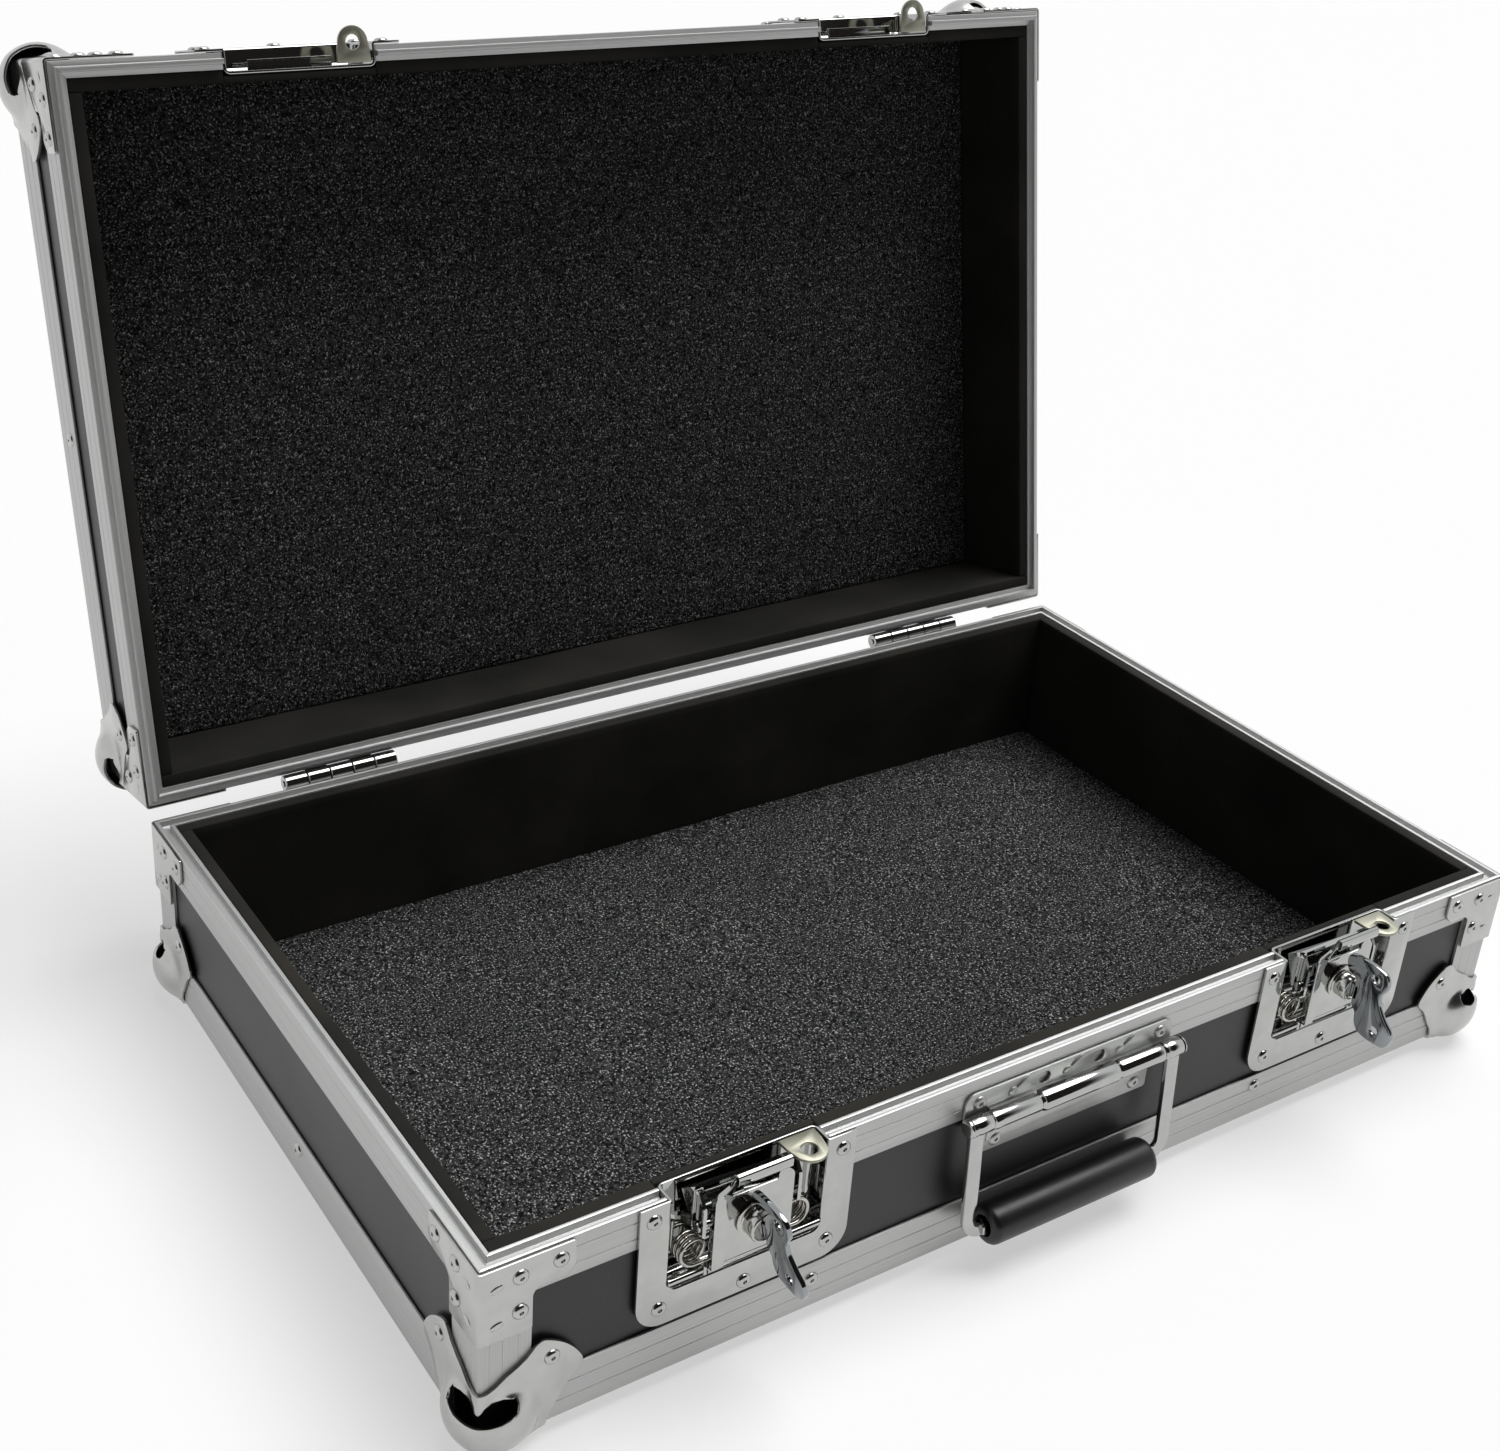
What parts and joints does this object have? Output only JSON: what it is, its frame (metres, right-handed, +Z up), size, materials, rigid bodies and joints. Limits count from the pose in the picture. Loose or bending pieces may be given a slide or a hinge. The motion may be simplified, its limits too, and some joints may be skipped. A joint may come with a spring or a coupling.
{
  "type": "utility case",
  "caption": "Small riveted flight case with a hinged lid standing open, ball corners, recessed key latches and a drop handle",
  "frame": {"origin": "middle of the floor panel's underside", "axes": "+X along the case to the right, +Y from the front with the latches to the hinges, +Z up"},
  "size_m": [0.556, 0.5031, 0.431],
  "materials": {
    "black_laminate": "black laminated plywood, fine satin texture",
    "aluminium_extrusion": "mill-finish extrusion with fine lengthwise grooves",
    "bright_steel_sheet": "bright plated pressed steel",
    "nickel_plate": "nickel-plated brass",
    "spring_steel": "plated spring wire",
    "foam": "smooth black closed-cell foam",
    "carpet": "speckled charcoal felt",
    "black_rubber": "ribbed black rubber"
  },
  "bodies": {
    "base": {"base_floor_panel": "black_laminate", "base_wall_panels": "black_laminate", "base_bottom_edging": "aluminium_extrusion", "base_rim_frame": "aluminium_extrusion", "base_rim_front_middle": "aluminium_extrusion", "base_wall_foam": "foam", "base_floor_carpet": "carpet", "handle_plate": "bright_steel_sheet", "base_corner_post_front_left": "aluminium_extrusion", "base_ball_corner_front_left": "bright_steel_sheet", "base_corner_brace_front_left": "bright_steel_sheet", "base_corner_post_rear_left": "aluminium_extrusion", "base_ball_corner_rear_left": "bright_steel_sheet", "base_corner_brace_rear_left": "bright_steel_sheet", "base_hinge_leaf_left": "bright_steel_sheet", "base_latch_dish_left": "bright_steel_sheet", "base_latch_ear_left": "bright_steel_sheet", "latch_spring_left": "spring_steel", "base_corner_post_front_right": "aluminium_extrusion", "base_ball_corner_front_right": "bright_steel_sheet", "base_corner_brace_front_right": "bright_steel_sheet", "base_corner_post_rear_right": "aluminium_extrusion", "base_ball_corner_rear_right": "bright_steel_sheet", "base_corner_brace_rear_right": "bright_steel_sheet", "base_hinge_leaf_right": "bright_steel_sheet", "base_latch_dish_right": "bright_steel_sheet", "base_latch_ear_right": "bright_steel_sheet", "latch_spring_right": "spring_steel"},
    "lid": {"lid_top_panel": "black_laminate", "lid_wall_panels": "black_laminate", "lid_edging": "aluminium_extrusion", "lid_rim_frame": "aluminium_extrusion", "lid_rim_front_middle": "aluminium_extrusion", "lid_wall_foam": "foam", "lid_top_carpet": "carpet", "lid_ball_corner_front_left": "bright_steel_sheet", "lid_corner_brace_front_left": "bright_steel_sheet", "lid_ball_corner_rear_left": "bright_steel_sheet", "lid_corner_brace_rear_left": "bright_steel_sheet", "lid_hinge_leaf_left": "bright_steel_sheet", "lid_latch_dish_left": "bright_steel_sheet", "lid_latch_ear_left": "bright_steel_sheet", "lid_ball_corner_front_right": "bright_steel_sheet", "lid_corner_brace_front_right": "bright_steel_sheet", "lid_ball_corner_rear_right": "bright_steel_sheet", "lid_corner_brace_rear_right": "bright_steel_sheet", "lid_hinge_leaf_right": "bright_steel_sheet", "lid_latch_dish_right": "bright_steel_sheet", "lid_latch_ear_right": "bright_steel_sheet"},
    "handle": {"handle_bail": "bright_steel_sheet", "handle_grip": "black_rubber"},
    "lever_left": {"latch_lever_left": "bright_steel_sheet"},
    "claw_left": {"latch_claw_left": "bright_steel_sheet"},
    "barrel_left": {"lock_barrel_left": "nickel_plate"},
    "key_left": {"lock_key_left": "nickel_plate"},
    "lever_right": {"latch_lever_right": "bright_steel_sheet"},
    "claw_right": {"latch_claw_right": "bright_steel_sheet"},
    "barrel_right": {"lock_barrel_right": "nickel_plate"},
    "key_right": {"lock_key_right": "nickel_plate"}
  },
  "joints": [
    {"name": "lid_hinge", "type": "hinge", "parent": "base", "child": "lid", "pos_m": [0, 0.1706, 0.0832], "axis": [1, 0, 0], "range_deg": [0, 101]},
    {"name": "handle_swing", "type": "hinge", "parent": "base", "child": "handle", "pos_m": [0, -0.1722, 0.065], "axis": [-1, 0, 0], "range_deg": [0, 105]},
    {"name": "lever_left_swing", "type": "hinge", "parent": "base", "child": "lever_left", "pos_m": [-0.1585, -0.1665, 0.0425], "axis": [1, 0, 0], "range_deg": [0, 80]},
    {"name": "claw_left_pivot", "type": "hinge", "parent": "lever_left", "child": "claw_left", "pos_m": [-0.1585, -0.1665, 0.0645], "axis": [1, 0, 0], "range_deg": [-80, 0]},
    {"name": "lock_left_turn", "type": "hinge", "parent": "lever_left", "child": "barrel_left", "pos_m": [-0.1585, -0.1785, 0.063], "axis": [0, -1, 0], "range_deg": [-20, 70]},
    {"name": "key_left_slide", "type": "slide", "parent": "barrel_left", "child": "key_left", "axis": [0, -1, 0], "range_m": [0, 0.03]},
    {"name": "lever_right_swing", "type": "hinge", "parent": "base", "child": "lever_right", "pos_m": [0.1585, -0.1665, 0.0425], "axis": [1, 0, 0], "range_deg": [0, 80]},
    {"name": "claw_right_pivot", "type": "hinge", "parent": "lever_right", "child": "claw_right", "pos_m": [0.1585, -0.1665, 0.0645], "axis": [1, 0, 0], "range_deg": [-80, 0]},
    {"name": "lock_right_turn", "type": "hinge", "parent": "lever_right", "child": "barrel_right", "pos_m": [0.1585, -0.1785, 0.063], "axis": [0, -1, 0], "range_deg": [0, 90]},
    {"name": "key_right_slide", "type": "slide", "parent": "barrel_right", "child": "key_right", "axis": [0, -1, 0], "range_m": [0, 0.03]}
  ],
  "couplings": [
    {"joint": "claw_left_pivot", "follows": "lever_left_swing", "ratio": -1},
    {"joint": "claw_right_pivot", "follows": "lever_right_swing", "ratio": -1}
  ]
}
